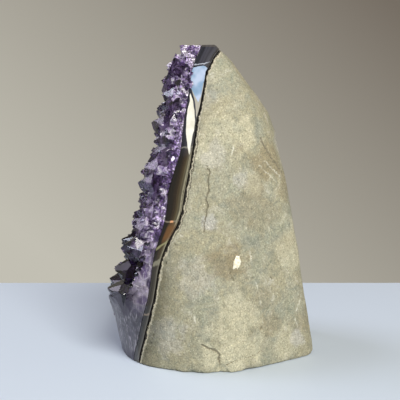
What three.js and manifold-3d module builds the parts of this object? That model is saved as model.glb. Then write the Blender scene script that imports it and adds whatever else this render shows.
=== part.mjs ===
// An amethyst geode section with a sawn base: a wedge cut from the wall of a geode.
// From the back to the front it is basalt, a lining of banded agate, and a bed of amethyst whose
// crystals point out of the front. The rim round the crystals is ground to a ring of flat facets.
//
// Millimetres. +Z is up, the crystals face -Y, and the stone stands on its sawn base at z = 0.
import * as THREE from "three";
import { mergeVertices } from "three/addons/utils/BufferGeometryUtils.js";
import Module from "manifold-3d";

const wasm = await Module();
wasm.setup();

// Driving dimensions.
const HEIGHT = 165;
const GAP = 0.3; // the weathered parting between one mineral layer and the next
const SEED = 29;

// Horizontal sections from the base to the tip. The whole stone is widest at y = middle, where it
// reaches side to either side; from there it is half a superellipse forward to front and another
// back to back. The last three give the layers at x = 0: seam is where basalt meets agate, agate is
// how thick the agate is, and bed is where the amethyst's crystals stand free of one another.
const SECTIONS = [
  { z: 0, middle: 6, side: 51.5, front: -43.5, back: 65.4, seam: -29.5, agate: 3.6, bed: -46 },
  { z: 12, middle: 6, side: 51.3, front: -46, back: 64, seam: -26.5, agate: 3.4, bed: -45 },
  { z: 24, middle: 6, side: 51, front: -49.2, back: 61.5, seam: -23, agate: 3.4, bed: -40 },
  { z: 38, middle: 6, side: 50, front: -57, back: 59.3, seam: -19, agate: 3.2, bed: -34.6 },
  { z: 54, middle: 5.5, side: 48.3, front: -72, back: 56, seam: -16.5, agate: 4, bed: -27.6 },
  { z: 66, middle: 5, side: 46.8, front: -92, back: 53.5, seam: -12.5, agate: 5, bed: -23.8 },
  { z: 78, middle: 5, side: 45, front: -100, back: 51, seam: -6.5, agate: 8, bed: -20.2 },
  { z: 92, middle: 4.5, side: 42.3, front: -105, back: 48, seam: -4.5, agate: 8.8, bed: -18 },
  { z: 112, middle: 4, side: 36.8, front: -105, back: 42.5, seam: -1.2, agate: 6.5, bed: -13 },
  { z: 130, middle: 3, side: 30.5, front: -105, back: 37.8, seam: 0.6, agate: 7, bed: -10.2 },
  { z: 145, middle: 2, side: 23, front: -105, back: 26.3, seam: 3, agate: 8, bed: -4.8 },
  { z: 156, middle: 1, side: 15.5, front: -105, back: 17.2, seam: 5.6, agate: 8, bed: -5.6 },
  { z: HEIGHT, middle: 0, side: 8, front: -105, back: 8, seam: 14, agate: 12, bed: -12.5 },
];
const SQUARENESS = 2.25; // the superellipse's exponent
const AROUND = 50; // points round the stone
const LEVELS = 18; // steps up it
const SWELL = 0.012; // how much of its reach the stone's unevenness is
const CUPPING = 2.2e-3; // how fast the layers curve forward towards the sides of the geode
const SEAM_WANDER = 0.5; // how far the face between basalt and agate wanders
const AGATE_WANDER = 0.4; // how much the agate's thickness varies
const SLAB = { wide: 140, deep: 200, high: 200, below: 10, columns: 12, rows: 26 };

// The outline of the rim where the agate meets the basalt, as seen from the front, from the foot on
// the right up to the top and down to the foot on the left. Its corners part the ground facets.
// A facet that faces sideways turns in towards the front by the degrees given where it starts.
const RIM = [
  { x: 38, z: 0, turn: 30 },
  { x: 45.5, z: 29, turn: 30 },
  { x: 43.5, z: 66, turn: 8 },
  { x: 40.8, z: 80, turn: 26 },
  { x: 32.5, z: 114, turn: 30 },
  { x: 16.5, z: 155, turn: 30 },
  { x: 6, z: HEIGHT - 1.2, turn: 30 },
  { x: -5, z: HEIGHT, turn: 30 },
  { x: -15, z: 156, turn: 30 },
  { x: -30, z: 121, turn: 30 },
  { x: -40, z: 84, turn: 28 },
  { x: -44.5, z: 38, turn: 30 },
  { x: -37.5, z: 0, turn: 30 },
];

// The facet ground across the front of the stone's top, by a point on it and the way it faces.
const BROW = { at: [0, -12.8, 161], facing: [0, -0.933, 0.36] };

// Flats worn on the basalt, each by a point on it and the way it faces. ROUNDING is how far to
// either side of a flat's edge the edge is worn round.
const ROUNDING = 4;
const FLATS = [
  { at: [47.5, 24, 0], facing: [0.83, 0.555, 0.11] },
  { at: [0, 61.6, 0], facing: [-0.05, 0.987, 0.161] },
  { at: [0, 39.2, 126], facing: [0.08, 0.83, 0.56] },
  { at: [-48, 24, 0], facing: [-0.84, 0.52, 0.14] },
];

// Chips broken from the edge of the base: a point on the edge and the reach of each hollow.
const CHIPS = [
  { at: [55, -4, -1], reach: [6, 9, 5] },
  { at: [56, 11, -2], reach: [7, 11, 11] },
  { at: [50.5, 31, -1], reach: [8, 10, 5] },
  { at: [10, 65, -2], reach: [13, 7, 8] },
  { at: [-56, 9, -2], reach: [7, 13, 9] },
];

// Crystals. A pair gives the least and the most of a measure that varies from one to the next.
const TIP_SLOPE = 1.1; // a quartz tip's height over its radius, from the rhombohedron's 51.8 degrees
const TIP_CUT = [0.03, 0.16]; // how much deeper the tip's three larger faces are, over the radius
const ROOT = 2; // how far a crystal goes down into the bed, over its radius
const ROOT_TAPER = 0.8; // its radius down there, over its radius at the shoulder
const SPACING = 13.5;
const SCATTER = 0.22; // how far a crystal stands from its even place, over the spacing
const WIDEST = 46; // how far out from the middle crystals are wanted
const FATNESS = 0.64; // a crystal's radius over its spacing, so that neighbours run into one another
const SIZES = [0.76, 1.24];
const STANDING = [1.8, 4.6]; // how far a crystal's shoulder stands out of the bed
const TILT = [-0.3, 0.3]; // how far it tips sideways or up from its neighbours, as a slope
const SPREAD = 2e-3; // how fast the crystals splay apart away from the middle
const CRYSTALS_LEAN = 0.2; // how far they point up from the horizontal, as a slope
const GRAZED = 0.88; // how near its shoulder a facet may come, over the radius
const OUTSIDE = 0.4; // how far outside a facet a crystal is left out, over the spacing

let state = SEED;
function random() {
  state = (state + 0x6d2b79f5) | 0;
  let t = Math.imul(state ^ (state >>> 15), 1 | state);
  t = (t + Math.imul(t ^ (t >>> 7), 61 | t)) ^ t;
  return ((t ^ (t >>> 14)) >>> 0) / 4294967296;
}

function between(low, high) {
  return low + (high - low) * random();
}

// A closed geometry as a solid that can be joined and cut.
function solid(geometry) {
  const bare = new THREE.BufferGeometry();
  const flat = geometry.index ? geometry.toNonIndexed() : geometry;
  bare.setAttribute("position", flat.getAttribute("position"));
  const merged = mergeVertices(bare, 1e-4);
  return new wasm.Manifold(
    new wasm.Mesh({
      numProp: 3,
      vertProperties: merged.attributes.position.array,
      triVerts: new Uint32Array(merged.index.array),
    }),
  );
}

function node(name, shape, material) {
  const { vertProperties, triVerts } = shape.getMesh();
  const geometry = new THREE.BufferGeometry();
  geometry.setAttribute("position", new THREE.BufferAttribute(vertProperties, 3));
  geometry.setIndex(new THREE.BufferAttribute(triVerts, 1));
  geometry.computeVertexNormals();
  const mesh = new THREE.Mesh(geometry, new THREE.MeshStandardMaterial(material));
  mesh.name = name;
  return mesh;
}

// The biggest of a shape's bodies, without the voids sealed in it or the crumbs beside it.
function biggestBody(shape) {
  return shape.decompose().reduce((a, b) => (b.volume() > a.volume() ? b : a));
}

// One of the sections' measures at a height, smooth from section to section.
function measure(key, height) {
  const z = Math.min(HEIGHT, Math.max(0, height));
  const last = SECTIONS.length - 1;
  const i = Math.max(
    1,
    SECTIONS.findIndex((section) => section.z >= z),
  );
  const [p0, p1, p2, p3] = [i - 2, i - 1, i, i + 1].map(
    (j) => SECTIONS[Math.min(last, Math.max(0, j))],
  );
  const span = p2.z - p1.z;
  const t = (z - p1.z) / span;
  const slope1 = ((p2[key] - p0[key]) / (p2.z - p0.z)) * span;
  const slope2 = ((p3[key] - p1[key]) / (p3.z - p1.z)) * span;
  return (
    (2 * t ** 3 - 3 * t ** 2 + 1) * p1[key] +
    (t ** 3 - 2 * t ** 2 + t) * slope1 +
    (3 * t ** 2 - 2 * t ** 3) * p2[key] +
    (t ** 3 - t ** 2) * slope2
  );
}

// Gentle unevenness of a natural surface, within about 1 either way.
function unevenness(a, b) {
  return (
    0.5 * Math.sin(a * 0.13 + 1.7 * Math.sin(b * 0.07)) +
    0.3 * Math.sin(b * 0.17 + 2.1 + a * 0.09) +
    0.2 * Math.sin(a * 0.31 - b * 0.23 + 0.6)
  );
}

// The whole stone before it is parted into layers: a unit drum drawn out to the sections.
function wholeStone() {
  const drum = new THREE.CylinderGeometry(1, 1, 1, AROUND, LEVELS).rotateX(Math.PI / 2);
  const points = drum.getAttribute("position");
  for (let i = 0; i < points.count; i++) {
    const [x, y] = [points.getX(i), points.getY(i)];
    const z = HEIGHT * (points.getZ(i) + 0.5);
    const reach = Math.hypot(x, y);
    const angle = Math.atan2(y, x);
    const [c, s] = [Math.cos(angle), Math.sin(angle)];
    const round = (Math.abs(c) ** SQUARENESS + Math.abs(s) ** SQUARENESS) ** (1 / SQUARENESS);
    const swell = (reach / round) * (1 + SWELL * unevenness(angle * 22, z));
    const middle = measure("middle", z);
    const depth = s < 0 ? middle - measure("front", z) : measure("back", z) - middle;
    const point = new THREE.Vector3(c * swell * measure("side", z), middle + s * swell * depth, z);
    FLATS.forEach((flat) => wearFlat(point, flat));
    points.setXYZ(i, point.x, point.y, point.z);
  }
  let stone = solid(drum);
  for (const { at, reach } of CHIPS) {
    stone = stone.subtract(chip().scale(reach).translate(at));
  }
  return stone;
}

// Brings a point that is outside a flat level with it, and eases the ones near the flat's edge.
function wearFlat(point, { at, facing }) {
  const out = new THREE.Vector3(...facing).normalize();
  const outside = point.clone().sub(new THREE.Vector3(...at)).dot(out);
  if (outside < -ROUNDING) return;
  const worn = outside > ROUNDING ? outside : (outside + ROUNDING) ** 2 / (4 * ROUNDING);
  const level = out.clone().setZ(0);
  point.addScaledVector(level, -worn / level.lengthSq());
}

// The hollow a chip leaves, one unit in reach: a coarse ball with its corners moved about.
function chip() {
  const bare = new THREE.IcosahedronGeometry(1, 1).deleteAttribute("normal").deleteAttribute("uv");
  const ball = mergeVertices(bare);
  const points = ball.getAttribute("position");
  for (let i = 0; i < points.count; i++) {
    const move = between(0.85, 1.15);
    points.setXYZ(i, points.getX(i) * move, points.getY(i) * move, points.getZ(i) * move);
  }
  return solid(ball);
}

// Keeps what lies behind the plane through a point that faces a given way.
function cutBehind(shape, at, facing) {
  const inward = facing.clone().normalize().negate();
  return shape.trimByPlane(inward.toArray(), inward.dot(at));
}

// The rim's facets, each by a point on it and the way it faces. Each goes through one side of the
// rim's outline and turns in towards the front, less towards the top.
function rimFacets() {
  return RIM.slice(1).map((end, i) => {
    const [a, b] = [RIM[i], end].map(({ x, z }) => new THREE.Vector3(x, seam(x, z), z));
    const along = b.clone().sub(a).normalize();
    const outward = new THREE.Vector3(along.z, 0, -along.x).normalize();
    const turn = THREE.MathUtils.degToRad(RIM[i].turn) * Math.abs(outward.x) ** 3;
    const facing = outward.multiplyScalar(Math.cos(turn)).setY(-Math.sin(turn));
    facing.addScaledVector(along, -facing.dot(along)).normalize();
    return { at: a, facing };
  });
}

// The y of each face between layers, over the stone's width and height.
function seam(x, z) {
  return measure("seam", z) - CUPPING * x * x + SEAM_WANDER * unevenness(x, z);
}

function agateFace(x, z) {
  return seam(x, z) - measure("agate", z) + AGATE_WANDER * unevenness(z * 1.4, x * 1.3);
}

function bedFace(x, z) {
  return measure("bed", z) - CUPPING * x * x;
}

// All the space behind a face y = f(x, z), moved back by an offset.
function behind(face, offset) {
  const { wide, deep, high, below, columns, rows } = SLAB;
  const slab = new THREE.BoxGeometry(wide, deep, high, columns, 1, rows);
  const points = slab.getAttribute("position");
  for (let i = 0; i < points.count; i++) {
    const [x, z] = [points.getX(i), points.getZ(i) + high / 2 - below];
    const y = points.getY(i) < 0 ? face(x, z) + offset : deep;
    points.setXYZ(i, x, y, z);
  }
  return solid(slab);
}

// One quartz point along +Z: a six-sided prism with its shoulder at z = 0, and a tip whose three
// larger faces, every other one round it, are cut a little deeper than the three between them.
function crystal(radius) {
  const tip = radius * TIP_SLOPE;
  const profile = [
    new THREE.Vector2(0, -radius * ROOT),
    new THREE.Vector2(radius * ROOT_TAPER, -radius * ROOT),
    new THREE.Vector2(radius, 0),
    new THREE.Vector2(0, tip),
  ];
  let shape = solid(new THREE.LatheGeometry(profile, 6).rotateX(Math.PI / 2));
  const first = Math.floor(between(0, 2));
  for (let k = 0; k < 3; k++) {
    const angle = ((2 * k + first + 0.5) * Math.PI) / 3;
    const [c, s] = [Math.cos(angle), Math.sin(angle)];
    const facing = new THREE.Vector3(c * TIP_SLOPE, s * TIP_SLOPE, Math.cos(Math.PI / 6));
    const depth = between(...TIP_CUT) * radius;
    shape = cutBehind(shape, new THREE.Vector3(0, 0, tip - depth), facing);
  }
  return shape;
}

// Places for crystals over the front: a honeycomb of SPACING with each place moved about.
function crystalPlaces() {
  const places = [];
  const rise = SPACING * Math.sin(Math.PI / 3);
  const [rows, columns] = [Math.ceil(HEIGHT / rise), Math.ceil(WIDEST / SPACING)];
  for (let row = 0; row <= rows; row++) {
    for (let column = -columns; column <= columns; column++) {
      places.push({
        x: (column + (row % 2) / 2 + between(-SCATTER, SCATTER)) * SPACING,
        z: (row + between(-SCATTER, SCATTER)) * rise,
        size: between(...SIZES),
      });
    }
  }
  return places;
}

// Moves a crystal's shoulder in from any facet it is too near, so that the facet only grazes it.
// Nothing comes back for one that is well outside.
function keptInside(shoulder, radius, facets) {
  for (const { at, facing } of facets) {
    const outside = shoulder.clone().sub(at).dot(facing);
    if (outside > SPACING * OUTSIDE) return null;
    const step = Math.max(0, outside + radius * GRAZED) / (facing.x ** 2 + facing.z ** 2);
    shoulder.x -= step * facing.x;
    shoulder.z -= step * facing.z;
  }
  return shoulder;
}

// All the crystals, joined where they run into one another.
function druseCrystals(facets) {
  const upright = new THREE.Vector3(0, 0, 1);
  const shapes = [];
  for (const { x, z, size } of crystalPlaces()) {
    const radius = SPACING * size * FATNESS;
    const [sideways, upwards] = [between(...TILT) - x * SPREAD, between(...TILT) + CRYSTALS_LEAN];
    const axis = new THREE.Vector3(sideways, -1, upwards).normalize();
    const turn = new THREE.Quaternion().setFromUnitVectors(upright, axis);
    const spin = new THREE.Quaternion().setFromAxisAngle(upright, between(0, Math.PI / 3));
    const shoulder = new THREE.Vector3(x, bedFace(x, z), z).addScaledVector(axis, between(...STANDING));
    if (!keptInside(shoulder, radius, facets)) continue;
    const place = new THREE.Matrix4().makeRotationFromQuaternion(turn.multiply(spin));
    place.setPosition(shoulder);
    shapes.push(crystal(radius).transform(place.elements));
  }
  return wasm.Manifold.union(shapes);
}

const facets = rimFacets();
const ground = facets.reduce((shape, { at, facing }) => cutBehind(shape, at, facing), wholeStone());
const stone = cutBehind(ground, new THREE.Vector3(...BROW.at), new THREE.Vector3(...BROW.facing));
const basalt = stone.intersect(behind(seam, GAP / 2));
const lining = behind(agateFace, GAP / 2).subtract(behind(seam, -GAP / 2));
const agate = stone.intersect(lining);
const crystals = behind(bedFace, 0).add(druseCrystals(facets));
const druse = biggestBody(stone.intersect(crystals.subtract(behind(agateFace, -GAP / 2))));

const geode = new THREE.Group();
geode.add(
  node("basalt_matrix", basalt, { color: 0x9a9780, roughness: 0.85, metalness: 0 }),
  node("agate_lining", agate, { color: 0x5f5a50, roughness: 0.15, metalness: 0 }),
  node("amethyst_druse", druse, { color: 0x7d5fa3, roughness: 0.1, metalness: 0 }),
);

// The origin is on the base, under the middle of the stone.
const box = new THREE.Box3().setFromObject(geode);
const middle = box.getCenter(new THREE.Vector3());
for (const mesh of geode.children) mesh.position.set(-middle.x, -middle.y, -box.min.z);

export default geode;
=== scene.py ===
# %% [markdown]
# # A standing amethyst geode
# A wedge cut from the wall of a geode: basalt at the back, a lining of banded agate, and a bed of
# amethyst whose crystals point out of the front. The three layers come in as a fixed frame. Here
# each gets the surface and the finish of the real mineral, and the fine things that the frame
# leaves out: pits and cracks in the basalt, bands in the agate, small crystals between the large
# ones, and the cloudy quartz sealed inside the clear amethyst.

# %% The frame
import math
import random

import bmesh
import bpy
from mathutils import Matrix, Vector, noise
from mathutils.bvhtree import BVHTree
from mathutils.kdtree import KDTree


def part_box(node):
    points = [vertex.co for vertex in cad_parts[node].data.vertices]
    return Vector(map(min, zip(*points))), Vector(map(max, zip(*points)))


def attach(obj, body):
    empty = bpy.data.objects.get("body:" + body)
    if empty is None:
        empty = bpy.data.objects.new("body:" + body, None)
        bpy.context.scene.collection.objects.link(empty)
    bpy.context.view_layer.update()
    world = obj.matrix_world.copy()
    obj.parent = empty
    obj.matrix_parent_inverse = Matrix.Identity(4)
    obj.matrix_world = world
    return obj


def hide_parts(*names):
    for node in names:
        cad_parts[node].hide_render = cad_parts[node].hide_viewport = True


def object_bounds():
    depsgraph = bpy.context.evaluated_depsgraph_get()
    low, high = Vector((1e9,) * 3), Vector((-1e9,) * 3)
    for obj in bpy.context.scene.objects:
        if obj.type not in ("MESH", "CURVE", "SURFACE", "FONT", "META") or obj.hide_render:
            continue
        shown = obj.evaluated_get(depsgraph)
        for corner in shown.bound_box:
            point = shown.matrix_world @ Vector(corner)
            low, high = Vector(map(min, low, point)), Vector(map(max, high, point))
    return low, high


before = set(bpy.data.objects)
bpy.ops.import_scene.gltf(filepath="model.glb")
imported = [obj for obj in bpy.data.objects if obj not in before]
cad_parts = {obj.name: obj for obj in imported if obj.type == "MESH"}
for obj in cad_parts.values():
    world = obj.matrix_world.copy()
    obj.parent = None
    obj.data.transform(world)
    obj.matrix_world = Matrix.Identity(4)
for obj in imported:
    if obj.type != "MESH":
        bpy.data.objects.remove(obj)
cad_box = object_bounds()
LOW, HIGH = cad_box
CENTRE = (LOW + HIGH) / 2
MM = 0.001
print("frame", [round(s / MM, 1) for s in HIGH - LOW], "mm")

# %% [markdown]
# ## The camera
# The stone is seen from its side, so that basalt, agate and crystals all show. A long lens keeps
# the upright edges nearly parallel, as a short telephoto does on a tabletop, and the camera looks
# a little down, which shows the foot of the stone on the table.

# %% Camera
LENS = 90  # millimetres, on a sensor 36 mm wide
AWAY = 547.3 * MM
LOOK_DOWN = math.radians(10)

aim = CENTRE + Vector((0, -5.84, -1.5)) * MM
back = Vector((math.cos(LOOK_DOWN), 0, math.sin(LOOK_DOWN)))
camera = bpy.data.objects.new("camera", bpy.data.cameras.new("camera"))
camera.data.lens = LENS
camera.data.sensor_width = 36
camera.location = aim + back * AWAY
camera.rotation_euler = (-back).to_track_quat("-Z", "Y").to_euler()
bpy.context.scene.collection.objects.link(camera)
bpy.context.scene.camera = camera
print("camera at", [round(c / MM) for c in camera.location])

# %% [markdown]
# ## Colours and nodes
# Colours are written as the hex values of a colour picker and turned to the linear values that the
# renderer adds up. One function adds a node of any kind: its options are named, each of its inputs
# is given either a value or the output that feeds it, and a colour ramp also gets its stops. Others
# build what the minerals repeat: a noise of a real size seen through a ramp, a stack of coats laid
# over a colour, and the skin that ends a material.

# %% Helpers for materials
def colour(code):
    parts = [int(code[i : i + 2], 16) / 255 for i in (1, 3, 5)]
    linear = [c / 12.92 if c <= 0.04045 else ((c + 0.055) / 1.055) ** 2.4 for c in parts]
    return (*linear, 1)


def add(tree, kind, inputs=None, stops=(), **options):
    """Each stop is a place from 0 to 1 and a hex colour or a grey level."""
    node = tree.nodes.new("ShaderNode" + kind)
    for name, value in options.items():
        setattr(node, name, value)
    for name, value in (inputs or {}).items():
        socket = node.inputs[name]
        if isinstance(value, bpy.types.NodeSocket):
            tree.links.new(value, socket)
        else:
            socket.default_value = value
    if stops:
        elements = node.color_ramp.elements
        while len(elements) < len(stops):
            elements.new(1)
        for element, (place, value) in zip(elements, stops):
            element.position = place
            element.color = colour(value) if isinstance(value, str) else (value, value, value, 1)
    return node


def per(size):
    """The scale that gives a pattern features of this many millimetres."""
    return 1 / (size * MM)


def noisy(tree, vector, size, *stops, detail=3.0, rough=0.6, bend=0.0):
    """A noise pattern of a real size in millimetres, seen through the stops of a colour ramp."""
    made = add(
        tree, "TexNoise",
        {"Vector": vector, "Scale": per(size), "Detail": detail, "Roughness": rough, "Distortion": bend},
    )
    return add(tree, "ValToRGB", {"Fac": made.outputs["Fac"]}, stops=stops).outputs["Color"]


SHARE, FIRST, SECOND, MIXED = 0, 6, 7, 2  # the colour sockets of a Mix node


def coated(tree, tone, *coats):
    """Lays coats over a colour in turn: the share of each, its colour, and how the two are mixed."""
    for share, coat, blend in coats:
        coat = colour(coat) if isinstance(coat, str) else coat
        mix = add(tree, "Mix", {SHARE: share, FIRST: tone, SECOND: coat}, data_type="RGBA", blend_type=blend)
        tone = mix.outputs[MIXED]
    return tone


def new_material(name):
    """An empty material with its node tree, the place of a point in metres, and its height."""
    made = bpy.data.materials.new(name)
    made.use_nodes = True
    tree = made.node_tree
    tree.nodes.clear()
    place = add(tree, "TexCoord").outputs["Object"]
    return made, tree, place, add(tree, "SeparateXYZ", {"Vector": place}).outputs["Z"]


def close(tree, settings, dye=None):
    """Ends a material with its skin and, in a clear one, the dye that colours it through."""
    ends = {"Surface": add(tree, "BsdfPrincipled", settings).outputs[0]}
    if dye:
        ends["Volume"] = add(tree, "VolumeAbsorption", dye).outputs[0]
    add(tree, "OutputMaterial", ends)


# %% [markdown]
# ## Table, wall and light
# A pale table whose far edge is just behind the stone, and a warm grey wall beyond it that is
# lighter low on the left. The wall is the world's own colour, so it also gives the even light of a
# room. A large soft lamp high on the right lights the basalt. Two blue-white windows on the left,
# one high and one low, give the crystals their glints.

# %% Table
TABLE_BACK = -132 * MM
TABLE = Vector((2.4, 3.2, 0.03))  # metres
form = bmesh.new()
bmesh.ops.create_cube(form, size=1)
bmesh.ops.scale(form, verts=form.verts, vec=TABLE)
bmesh.ops.translate(form, verts=form.verts, vec=(TABLE_BACK + TABLE.x / 2, 0, -TABLE.z / 2))
bmesh.ops.bevel(
    form, geom=form.edges[:], offset=2 * MM, offset_type="OFFSET", segments=3, profile=0.5,
    affect="EDGES", material=-1,
)
table_mesh = bpy.data.meshes.new("table")
form.to_mesh(table_mesh)
form.free()
table = bpy.data.objects.new("table", table_mesh)
bpy.context.scene.collection.objects.link(table)

laminate, tree, _, _ = new_material("satin laminate")
close(tree, {"Base Color": colour("#c4cfdb"), "Roughness": 0.5, "IOR": 1.45})
table_mesh.materials.append(laminate)
print("table edge at", TABLE_BACK / MM, "mm")

# %% Wall and room light
WALL_FALL = (0, -1.6, -1.9)  # how fast the wall gets lighter towards each axis: left and down
WALL_LEVEL = 0.335  # how light it is level with the middle, from 0 for dark to 1

world = bpy.data.worlds.new("room")
world.use_nodes = True
tree = world.node_tree
tree.nodes.clear()
way = add(tree, "TexCoord")
falls = add(tree, "VectorMath", {0: way.outputs["Generated"], 1: WALL_FALL}, operation="DOT_PRODUCT")
level = add(tree, "Math", {0: falls.outputs["Value"], 1: WALL_LEVEL}, operation="ADD", use_clamp=True)
paint = ((0, "#766e64"), (1, "#c2bfb3"))
wall = add(tree, "ValToRGB", {"Fac": level.outputs[0]}, stops=paint)
glow = add(tree, "Background", {"Color": wall.outputs["Color"], "Strength": 1.0})
add(tree, "OutputWorld", {"Surface": glow.outputs[0]})
bpy.context.scene.world = world


# %% Lamps
def lamp(name, place, size, power, tint):
    """A square lamp that faces the stone: its place and size in metres and its power in watts."""
    made = bpy.data.lights.new(name, "AREA")
    made.shape = "SQUARE"
    made.size = size
    made.energy = power
    made.color = colour(tint)[:3]
    holder = bpy.data.objects.new(name, made)
    holder.location = place
    holder.rotation_euler = (CENTRE - Vector(place)).to_track_quat("-Z", "Y").to_euler()
    bpy.context.scene.collection.objects.link(holder)


lamp("soft_key", (1.05, 0.45, 1.15), 0.9, 29, "#fffdf8")
lamp("window", (-0.12, -0.75, 1.3), 0.5, 6, "#e6ecff")
lamp("low_window", (-0.5, -1.0, 0.6), 0.6, 3.5, "#efe8ff")

# %% [markdown]
# ## Meshes from the frame
# The frame's nodes are never changed, so each layer starts as a copy. A copy comes as loose
# triangles: its corners are merged first, and then it can be refined. Refining halves every long
# edge and then joins each new point to the others of its face, so that no flat sliver is left.

# %% Helpers for meshes
ONE_POINT = 0.002 * MM  # corners closer than this are one and the same
STRAIGHT = math.radians(0.5)  # faces that bend less than this are one flat face


def merged_copy(node):
    form = bmesh.new()
    form.from_mesh(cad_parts[node].data)
    bmesh.ops.remove_doubles(form, verts=form.verts, dist=ONE_POINT)
    return form


def finished(name, form, materials, node=None):
    """Makes a bmesh a piece of the object, with its materials, attached to the root body."""
    mesh = bpy.data.meshes.new(name)
    form.to_mesh(mesh)
    form.free()
    for material in materials:
        mesh.materials.append(material)
    piece = bpy.data.objects.new(name, mesh)
    bpy.context.scene.collection.objects.link(piece)
    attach(piece, "root")
    if node:
        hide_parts(node)
    print(name, sum(len(p.vertices) - 2 for p in mesh.polygons), "triangles")
    return piece


def modified(form, kind, **settings):
    """The shape that one modifier makes of a bmesh, as a new bmesh."""
    mesh = bpy.data.meshes.new("draft")
    form.to_mesh(mesh)
    form.free()
    draft = bpy.data.objects.new("draft", mesh)
    bpy.context.scene.collection.objects.link(draft)
    modifier = draft.modifiers.new("made", kind)
    for name, value in settings.items():
        setattr(modifier, name, value)
    made = bmesh.new()
    made.from_object(draft, bpy.context.evaluated_depsgraph_get())
    bpy.data.objects.remove(draft)
    bpy.data.meshes.remove(mesh)
    return made


def refine(form, longest, slot=0):
    """Splits edges of the faces of one material slot, until none is longer than this, in triangles."""
    while True:
        edges = [e for e in form.edges if e.calc_length() > longest]
        edges = [e for e in edges if any(f.material_index == slot for f in e.link_faces)]
        if not edges:
            break
        split = bmesh.ops.bisect_edges(form, edges=edges, cuts=1)["geom_split"]
        middles = [part for part in split if isinstance(part, bmesh.types.BMVert)]
        bmesh.ops.connect_verts(form, verts=middles)
        known = set(middles)
        for f in [f for f in form.faces if len(f.verts) == 4]:
            corners = f.verts[:]
            fresh = [i for i, v in enumerate(corners) if v in known]
            if len(fresh) == 1:
                bmesh.utils.face_split(f, corners[fresh[0]], corners[fresh[0] - 2])
        bmesh.ops.triangulate(form, faces=[f for f in form.faces if len(f.verts) > 3])


def surface_of(node):
    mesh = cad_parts[node].data
    return BVHTree.FromPolygons([v.co for v in mesh.vertices], [p.vertices[:] for p in mesh.polygons])


basalt_surface = surface_of("basalt_matrix")
agate_surface = surface_of("agate_lining")
druse_surface = surface_of("amethyst_druse")


def smoothstep(low, high, value):
    """Goes smoothly from 0 at low to 1 at high."""
    t = min(1.0, max(0.0, (value - low) / (high - low)))
    return t * t * (3 - 2 * t)


DRAWN_IN = 0.98
FOOT_MIDDLE = 5 * MM  # along y


def undercut(form):
    """Draws in the foot by a millimetre, so that the sawn edge is rounded and throws a thin shadow."""
    for v in form.verts:
        if v.co.z < 0.1 * MM:
            v.co.x *= DRAWN_IN
            v.co.y = FOOT_MIDDLE + (v.co.y - FOOT_MIDDLE) * DRAWN_IN
            v.co.z = 0


# %% [markdown]
# ## Basalt
# The back of the stone is weathered basalt, rubbed smooth by hand: low swells, shallow pits where
# gas bubbles and soft grains have gone, fine cracks, thin pale veins, and a crumbly edge along the
# agate. Fine grain alone would be a job for bump, but swells, pits and cracks are real shape. The
# copy is made into even squares of about a millimetre, split finer along the cracks and along the
# agate, and then each point is moved along its normal. What each point is part of, such as a crack,
# a vein or a stain, is kept in attributes, so that colour and shape agree.
#
# A line is given by its side of the stone, its width and a few points, all in millimetres, from the
# middle of the stone across and from its foot up. It is cast onto the surface from that side.

# %% Lines in the basalt
SIDES = {"right": Vector((1, 0, 0)), "left": Vector((-1, 0, 0)), "back": Vector((0, 1, 0))}
CRACKS = (
    (
        "right", 0.55,
        ((-2.4, 105), (-0.9, 101.6), (-1.9, 97.7), (-1.4, 92.7), (-2.9, 88.8), (-1.9, 84.8), (-3.6, 77), (-3.9, 72)),
    ),
    ("right", 0.8, ((-4.9, 15.2), (-1.4, 13.3), (1.7, 12.3), (4.2, 10.1), (3.7, 7), (4.8, 3.8))),
    ("right", 0.7, ((25.5, 117.6), (28.2, 112.3), (31.5, 106.9), (35.4, 101.3), (39, 95.3))),
    ("right", 0.35, ((8, 4.5), (14, 7), (20, 6.5), (27, 9))),
    ("left", 0.7, ((-8, 112), (-5.5, 100), (-7, 90), (-4, 79), (-6, 70))),
    ("left", 0.6, ((10, 30), (16, 27), (19, 19), (25, 15), (26, 6))),
    ("back", 0.7, ((-20, 18), (-14, 27), (-15, 38), (-8, 47), (-9, 58))),
    ("back", 0.5, ((12, 100), (15, 88), (12, 80), (17, 68))),
)
VEINS = (
    ("right", 0.45, ((10.8, 119.5), (11.3, 116.1), (10.8, 112.7), (9.8, 109.8))),
    ("right", 0.5, ((14.4, 103.5), (15.9, 99.9), (16.4, 96.4), (18, 92))),
    ("right", 0.4, ((18.6, 66), (20.7, 55.2), (22.9, 45.7), (25.1, 35), (27.3, 20.1))),
    ("right", 0.5, ((-9.5, 34), (-8.5, 28.9), (-8, 24.3), (-6.5, 19.6), (-4.9, 15.6))),
    ("right", 0.4, ((27.1, 106.4), (31.4, 101.9), (35.9, 97.2))),
    ("right", 0.4, ((24.9, 104.1), (30.3, 98.5), (34.7, 93.9))),
    ("right", 0.4, ((29.3, 111.2), (32.7, 108.7), (34.9, 104.4))),
    ("left", 0.5, ((22, 98), (25, 88), (24, 76), (28, 66))),
    ("left", 0.4, ((-12, 52), (-6, 46), (2, 43), (9, 36))),
    ("back", 0.5, ((-28, 84), (-18, 78), (-9, 80), (2, 72), (10, 70))),
    ("back", 0.4, ((20, 44), (22, 33), (27, 24), (26, 12))),
)


LINE_STEP = 0.5  # millimetres
LINE_STRAY = 0.22  # millimetres
OUTSIDE = 200 * MM  # from the middle, past every side


def on_surface(surface, side, across, up):
    out = SIDES[side]
    start = out * OUTSIDE + Vector((0, across * MM, up * MM) if out.x else (across * MM, 0, up * MM))
    return surface.ray_cast(start, -out)[0]


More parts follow.
